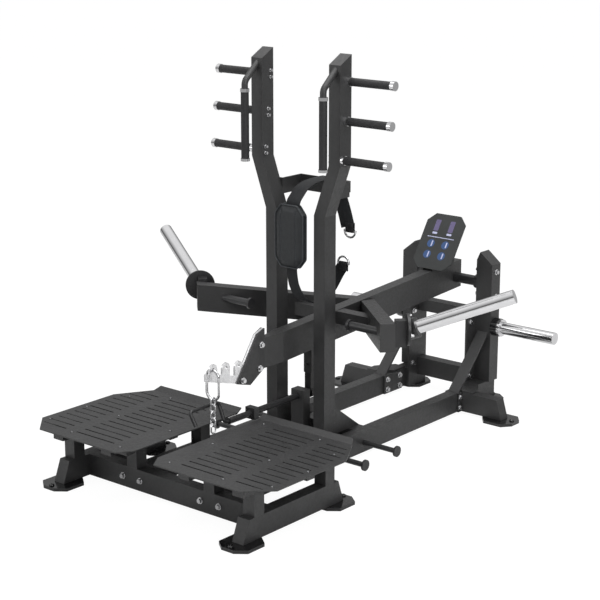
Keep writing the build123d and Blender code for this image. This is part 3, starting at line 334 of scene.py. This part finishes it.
dome_heads("deck_screws", both_sides(DECK_SCREW_PLACES, DECK_TOP), 0.0055, 0.0028, SCREW)
dome_heads("foot_pad_screws", both_sides(PAD_SCREW_PLACES, PAD_TOP), 0.010, 0.007, GLOSS)

# Belt pad: a stuffed octagon with drawn-in edges, piping and stitched channels
PAD_FOOT_LIFT = 0.004
PAD_TOP_LIFT = 0.008
CUT_X = 0.028
CUT_Z = 0.034
RIM_INSET = 0.004
RIM_HALF = 0.010
CORNERS = 8
PAD_VOXEL = 0.005
SWELL = 0.008
SWELL_EDGE = 0.02
PRESSURE = 4.0
BLOW_FRAMES = 20
CHANNELS = (-0.036, 0.036)
CHANNEL_REACH = 0.098
CHANNEL_HALF_WIDTH = 0.006
CHANNEL_DEPTH = 0.0028
PIPING_RADIUS = 0.0028
PIPING_SIDES = 8
PIPING_CORNER = 0.003
STITCH_REACH = 0.094
STITCH_PITCH = 0.0085
STITCH_HALF = 0.0027
STITCH_RADIUS = 0.0008
STITCH_SINK = 0.0002
STITCH_SIDES = 6
RAY_START = 0.1
pad_low, pad_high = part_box("belt_pad")
pad_low.z += PAD_FOOT_LIFT
pad_high.z += PAD_TOP_LIFT
pad_mid = (pad_low + pad_high) / 2


def pad_outline(inset):
    x0, x1 = pad_low.x + inset, pad_high.x - inset
    z0, z1 = pad_low.z + inset, pad_high.z - inset
    return [(x0 + CUT_X, z0), (x1 - CUT_X, z0), (x1, z0 + CUT_Z), (x1, z1 - CUT_Z),
            (x1 - CUT_X, z1), (x0 + CUT_X, z1), (x0, z1 - CUT_Z), (x0, z0 + CUT_Z)]


def rim_distance(place):
    """How far a place on the pad lies inside its outline."""
    x = pad_mid.x - abs(place.x - pad_mid.x)
    z = pad_mid.z - abs(place.z - pad_mid.z)
    slope = math.hypot(CUT_X, CUT_Z)
    corner = ((x - pad_low.x) * CUT_Z + (z - pad_low.z) * CUT_X - CUT_X * CUT_Z) / slope
    return max(0.0, min(x - pad_low.x, z - pad_low.z, corner) - RIM_INSET)


def blow_up(made):
    """Cloth pressure crowns both faces, and the swelling fades out towards the rim."""
    rest = [v.co.copy() for v in made.data.vertices]
    cloth = made.modifiers.new("blow", "CLOTH")
    cloth.settings.use_pressure = True
    cloth.settings.uniform_pressure_force = PRESSURE
    cloth.settings.effector_weights.gravity = 0.0
    cloth.point_cache.frame_end = BLOW_FRAMES
    for number in range(1, BLOW_FRAMES + 1):
        scene.frame_set(number)
    shape = made.evaluated_get(bpy.context.evaluated_depsgraph_get())
    moved = [v.co.copy() for v in shape.data.vertices]
    made.modifiers.remove(cloth)
    scene.frame_set(1)
    for v, a, b in zip(made.data.vertices, rest, moved):
        swell = max(-SWELL, min(SWELL, b.y - a.y))
        v.co = a + Vector((0, swell * min(1.0, rim_distance(a) / SWELL_EDGE), 0))


def pad_body():
    """A thin octagonal bag, blown up so that its faces crown, with sewn channels."""
    corners = pad_outline(RIM_INSET)
    verts = [Vector((x, pad_mid.y - RIM_HALF, z)) for x, z in corners]
    verts += [Vector((x, pad_mid.y + RIM_HALF, z)) for x, z in corners]
    faces = [tuple(range(CORNERS)), tuple(reversed(range(CORNERS, 2 * CORNERS)))]
    faces += [(i, i + CORNERS, (i + 1) % CORNERS + CORNERS, (i + 1) % CORNERS) for i in range(CORNERS)]
    made = mesh_object("belt_pad_cushion", verts, faces, [COVER])
    bm = bmesh.new()
    bm.from_mesh(made.data)
    bmesh.ops.recalc_face_normals(bm, faces=bm.faces)
    bm.to_mesh(made.data)
    bm.free()
    remesh = made.modifiers.new("even", "REMESH")
    remesh.mode = "VOXEL"
    remesh.voxel_size = PAD_VOXEL
    bpy.context.view_layer.objects.active = made
    bpy.ops.object.modifier_apply(modifier="even")
    blow_up(made)
    soft = made.modifiers.new("soft", "SMOOTH")
    soft.iterations = 3
    soft.use_x = soft.use_z = False
    bpy.ops.object.modifier_apply(modifier="soft")
    fine = made.modifiers.new("fine", "SUBSURF")
    fine.levels = fine.render_levels = 1
    bpy.ops.object.modifier_apply(modifier="fine")
    for polygon in made.data.polygons:
        polygon.use_smooth = True
    # The channels draw both faces in along two upright lines
    for v in made.data.vertices:
        for line_x in CHANNELS:
            off = abs(v.co.x - line_x)
            if off < CHANNEL_HALF_WIDTH and abs(v.co.z - pad_mid.z) < CHANNEL_REACH:
                pull = CHANNEL_DEPTH * (1 - off / CHANNEL_HALF_WIDTH) ** 2
                v.co.y += pull if v.co.y < pad_mid.y else -pull
    return made


cushion = pad_body()
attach(cushion, "frame")
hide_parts("belt_pad")


def ring_points(corners, y):
    """Points round an outline whose corners are rounded by repeated cutting."""
    points = [Vector((x, y, z)) for x, z in corners]
    for _ in range(2):
        cut = []
        for i, a in enumerate(points):
            b = points[(i + 1) % len(points)]
            share = min(0.25, PIPING_CORNER / (b - a).length)
            cut.append(a.lerp(b, share))
            cut.append(a.lerp(b, 1 - share))
        points = cut
    return points


for side, name in ((-1, "front"), (1, "back")):
    rim = ring_points(pad_outline(RIM_INSET), pad_mid.y + side * RIM_HALF)
    seam = closed_tube(f"belt_pad_piping_{name}", rim, PIPING_RADIUS, PIPING, PIPING_SIDES)
    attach(seam, "frame")


def stitch_lines():
    """Short threads laid on the pad's front face along its channels."""
    cover = BVHTree.FromPolygons([v.co.copy() for v in cushion.data.vertices],
                                 [tuple(p.vertices) for p in cushion.data.polygons])
    verts, faces = [], []
    for line_x in CHANNELS:
        z = pad_mid.z - STITCH_REACH
        while z < pad_mid.z + STITCH_REACH:
            place = cover.ray_cast(Vector((line_x, pad_mid.y - RAY_START, z)), BACKWARD)[0]
            if place is not None:
                faces += ring_faces(2, STITCH_SIDES, len(verts))
                for end in (-STITCH_HALF, STITCH_HALF):
                    for k in range(STITCH_SIDES):
                        turn = 2 * math.pi * k / STITCH_SIDES
                        verts.append(place + Vector((STITCH_RADIUS * math.cos(turn),
                                                     STITCH_RADIUS * math.sin(turn) - STITCH_SINK, end)))
            z += STITCH_PITCH
    return mesh_object("belt_pad_stitches", verts, faces, [THREAD])


stitches = stitch_lines()
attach(stitches, "frame")

# Straps: over the hanger to the upper ring, and under the pad round to the lower ring
TOP_WIDTH = 0.066
LOW_WIDTH = 0.050
WEB_THICKNESS = 0.0036
LOOP_WIDTH = 0.036
LOOP_THICKNESS = 0.003
LOOP_RADIUS = 0.0062
LOOP_TAIL = 0.03
LOOP_STEPS = 8


top_route = [spot(11, -25, 968), spot(12, -21, 988), spot(13, -2, 1009), spot(14, 24, 1031),
             spot(16, 62, 1045), spot(18, 110, 1050), spot(20, 160, 1051.5), spot(23, 178, 1050),
             spot(30, 184, 1040), spot(54, 184, 1006), spot(83, 183.5, 938), spot(105, 182.5, 872)]
top_sides = [FLAT_X] * 7 + [Vector((1, 0, 0.05)), Vector((1, 0, 0.2)), Vector((0.95, 0, 0.35)),
                            Vector((0.93, 0, 0.35)), Vector((0.98, 0, 0.15))]
top_strap = ribbon("belt_top_webbing", top_route, top_sides, TOP_WIDTH, WEB_THICKNESS, STRAP)
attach(top_strap, "frame")
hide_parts("belt_top_strap")

low_route = [spot(6, -25, 752), spot(8, -25, 712), spot(18, -23, 666), spot(38, -8, 622), spot(56, 40, 598),
             spot(60, 92, 600), spot(62, 130, 630), spot(70, 142, 658), spot(93, 143, 700),
             spot(114, 143, 732)]
low_sides = [FLAT_X, FLAT_X, Vector((0.97, 0, 0.12)), Vector((0.97, 0, 0.12)), FLAT_X, FLAT_X, FLAT_X,
             Vector((0.9, 0, -0.2)), Vector((0.87, 0, -0.45)), Vector((0.9, 0, -0.3))]
low_strap = ribbon("belt_low_webbing", low_route, low_sides, LOW_WIDTH, WEB_THICKNESS, STRAP)
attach(low_strap, "frame")
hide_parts("belt_low_strap")
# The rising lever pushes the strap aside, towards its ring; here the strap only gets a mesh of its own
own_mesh(low_strap)


def strap_loop(name, centre, way):
    """The strap's end, folded round the ring's bar and sewn back."""
    bend = []
    for k in range(LOOP_STEPS + 1):
        turn = math.pi * k / LOOP_STEPS
        bend.append(centre + Vector((0, -math.cos(turn) * LOOP_RADIUS, -math.sin(turn) * LOOP_RADIUS * way)))
    tail = Vector((0, 0, way * LOOP_TAIL))
    points = [bend[0] + tail] + bend + [bend[-1] + tail]
    made = ribbon(name, points, [FLAT_X] * len(points), LOOP_WIDTH, LOOP_THICKNESS, STRAP_BLACK, 3)
    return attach(made, "frame")


strap_loop("top_ring_loop", spot(116, 181.3, 857.7), 1)
strap_loop("low_ring_loop", spot(116, 143, 739.3), -1)

# Print of plain blocks and discs on the display panel
PANEL_LEAN = math.radians(33.4)
PANEL_DEPTH = 845
PANEL_GAP = 6
PANEL_HALF_THICKNESS = 0.006
PANEL_MID = 0.014
ARM_TOP_DEPTH = 237
ARM_TOP_HEIGHT = 527
ARM_RISE = math.tan(math.radians(3.36))
PRINT_LIFT = 0.0003
TOP_PRINT_LIFT = 0.0006
BAR_HALF = 0.012
DISC_RADIUS = 0.018
DISC_SIDES = 20
panel_up = Vector((0, math.sin(PANEL_LEAN), math.cos(PANEL_LEAN)))
panel_out = Vector((0, -math.cos(PANEL_LEAN), math.sin(PANEL_LEAN)))
panel_foot = spot(0, PANEL_DEPTH, ARM_TOP_HEIGHT + (PANEL_DEPTH - ARM_TOP_DEPTH) * ARM_RISE + PANEL_GAP)


def on_panel(x, up, lift):
    """A place above the panel's face, from its middle and its foot."""
    return panel_foot + FLAT_X * (PANEL_MID + x) + panel_up * up + panel_out * (PANEL_HALF_THICKNESS + lift)


def block(x0, x1, up0, up1, lift=PRINT_LIFT, corner=0.004):
    points = []
    for cx, cz, start in ((x1 - corner, up1 - corner, 0), (x0 + corner, up1 - corner, 90),
                          (x0 + corner, up0 + corner, 180), (x1 - corner, up0 + corner, 270)):
        for k in range(4):
            turn = math.radians(start + 30 * k)
            points.append(on_panel(cx + corner * math.cos(turn), cz + corner * math.sin(turn), lift))
    return points


def disc(x, up):
    turns = [2 * math.pi * k / DISC_SIDES for k in range(DISC_SIDES)]
    return [on_panel(x + DISC_RADIUS * math.cos(turn), up + DISC_RADIUS * math.sin(turn), PRINT_LIFT)
            for turn in turns]


PRINT_MATERIALS = [PRINT_LIGHT, PRINT_BLUE, PRINT_PALE]
LIGHT, BLUE, PALE = range(3)
print_shapes = [(block(-0.066, 0.066, 0.139, 0.142, corner=0.001), PALE)]
for x in (-0.037, 0.034):
    print_shapes.append((block(x - BAR_HALF, x + BAR_HALF, 0.168, 0.218), LIGHT))
    print_shapes.append((block(x - BAR_HALF, x + BAR_HALF, 0.154, 0.163, corner=0.003), PALE))
    for up in (0.111, 0.062):
        print_shapes.append((disc(x, up), BLUE))
        mark = block(x + 0.002, x + 0.008, up - 0.012, up + 0.013, TOP_PRINT_LIFT, 0.0025)
        print_shapes.append((mark, PALE))
print_verts, print_faces, print_index = [], [], []
for outline, index in print_shapes:
    start = len(print_verts)
    print_verts += outline
    print_faces.append(tuple(range(start, start + len(outline))))
    print_index.append(index)
panel_print = mesh_object("panel_print", print_verts, print_faces, PRINT_MATERIALS, smooth=False,
                          face_materials=print_index)
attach(panel_print, "lever")


# Plain pale floor, which also fills the background
def mixed(tree, factor, first, second):
    """The second shader where the factor is one, and the first elsewhere."""
    made = tree.nodes.new("ShaderNodeMixShader")
    tree.links.new(factor, made.inputs["Fac"])
    tree.links.new(first, made.inputs[1])
    tree.links.new(second, made.inputs[2])
    return made.outputs["Shader"]


FLOOR_REACH = 30
FLOOR_SHADE = 0.86
FLOOR_GLOW = 1.1
GLOW_SHARE = 0.86
floor_corners = [Vector((x * FLOOR_REACH, y * FLOOR_REACH, 0))
                 for x, y in ((-1, -1), (1, -1), (1, 1), (-1, 1))]
floor = mesh_object("floor", floor_corners, [(0, 1, 2, 3)], [])
floor_material = bpy.data.materials.new("floor_white")
floor_material.use_nodes = True
tree = floor_material.node_tree
base = tree.nodes["Principled BSDF"]
base.inputs["Base Color"].default_value = (FLOOR_SHADE, FLOOR_SHADE, FLOOR_SHADE, 1)
base.inputs["Roughness"].default_value = 0.9
glow = tree.nodes.new("ShaderNodeEmission")
glow.inputs["Color"].default_value = (1, 1, 1, 1)
glow.inputs["Strength"].default_value = FLOOR_GLOW
path = tree.nodes.new("ShaderNodeLightPath")
share = tree.nodes.new("ShaderNodeMath")
share.operation = "MULTIPLY"
share.inputs[1].default_value = GLOW_SHARE
tree.links.new(path.outputs["Is Camera Ray"], share.inputs[0])
floor_shader = mixed(tree, share.outputs[0], base.outputs["BSDF"], glow.outputs["Emission"])
tree.links.new(floor_shader, tree.nodes["Material Output"].inputs["Surface"])
floor.data.materials.append(floor_material)

# White studio, in which polished metal sees dark sides and a bright ceiling
SKY_STRENGTH = 0.45
STUDIO_DARK = (0.09, 0.09, 0.09)
STUDIO_BRIGHT = (0.95, 0.95, 0.95)
world = bpy.data.worlds.new("studio")
scene.world = world
world.use_nodes = True
tree = world.node_tree
sky = tree.nodes["Background"]
sky.inputs["Color"].default_value = (1.0, 1.0, 1.0, 1)
sky.inputs["Strength"].default_value = SKY_STRENGTH
white = tree.nodes.new("ShaderNodeBackground")
white.inputs["Color"].default_value = (1, 1, 1, 1)
white.inputs["Strength"].default_value = 1.0
path = tree.nodes.new("ShaderNodeLightPath")
coords = tree.nodes.new("ShaderNodeTexCoord")
split = tree.nodes.new("ShaderNodeSeparateXYZ")
tree.links.new(coords.outputs["Generated"], split.inputs["Vector"])
studio = ramp(tree, split.outputs["Z"], STUDIO_DARK, STUDIO_BRIGHT, 0.05, 0.75)
mirrored_sky = tree.nodes.new("ShaderNodeBackground")
tree.links.new(studio.outputs["Color"], mirrored_sky.inputs["Color"])
glossy_sky = mixed(tree, path.outputs["Is Glossy Ray"], sky.outputs["Background"],
                   mirrored_sky.outputs["Background"])
whole_sky = mixed(tree, path.outputs["Is Camera Ray"], glossy_sky, white.outputs["Background"])
tree.links.new(whole_sky, tree.nodes["World Output"].inputs["Surface"])


def soft_light(name, place, target, size, power):
    data = bpy.data.lights.new(name, "AREA")
    data.shape = "SQUARE"
    data.size = size
    data.energy = power
    made = bpy.data.objects.new(name, data)
    scene.collection.objects.link(made)
    made.location = place
    made.rotation_mode = "QUATERNION"
    made.rotation_quaternion = (Vector(target) - Vector(place)).to_track_quat("-Z", "Y")


soft_light("overhead", (0.3, 0.2, 4.2), (0, 0, 0.5), 3.5, 112)
soft_light("front_right", (4.2, -2.0, 2.6), (0, 0, 0.7), 2.2, 76)
soft_light("front_left", (-2.6, -4.2, 2.4), (0, 0, 0.7), 2.2, 37)

# Camera fitted to the photograph's view
AZIMUTH = math.radians(39.91)
ELEVATION = math.radians(14.74)
CAMERA_DISTANCE = 6.160
FOCAL_LENGTH = 99.33
SENSOR_WIDTH = 36.0
back = Vector((math.sin(AZIMUTH) * math.cos(ELEVATION), -math.cos(AZIMUTH) * math.cos(ELEVATION),
               math.sin(ELEVATION)))
lens = bpy.data.cameras.new("camera")
lens.sensor_width = SENSOR_WIDTH
lens.lens = FOCAL_LENGTH
lens.clip_end = 100.0
camera = bpy.data.objects.new("camera", lens)
scene.collection.objects.link(camera)
camera.location = spot(29.3, -6.2, 612.8) + back * CAMERA_DISTANCE
camera.rotation_mode = "QUATERNION"
camera.rotation_quaternion = (-back).to_track_quat("-Z", "Y")
scene.camera = camera
scene.view_settings.view_transform = "Standard"
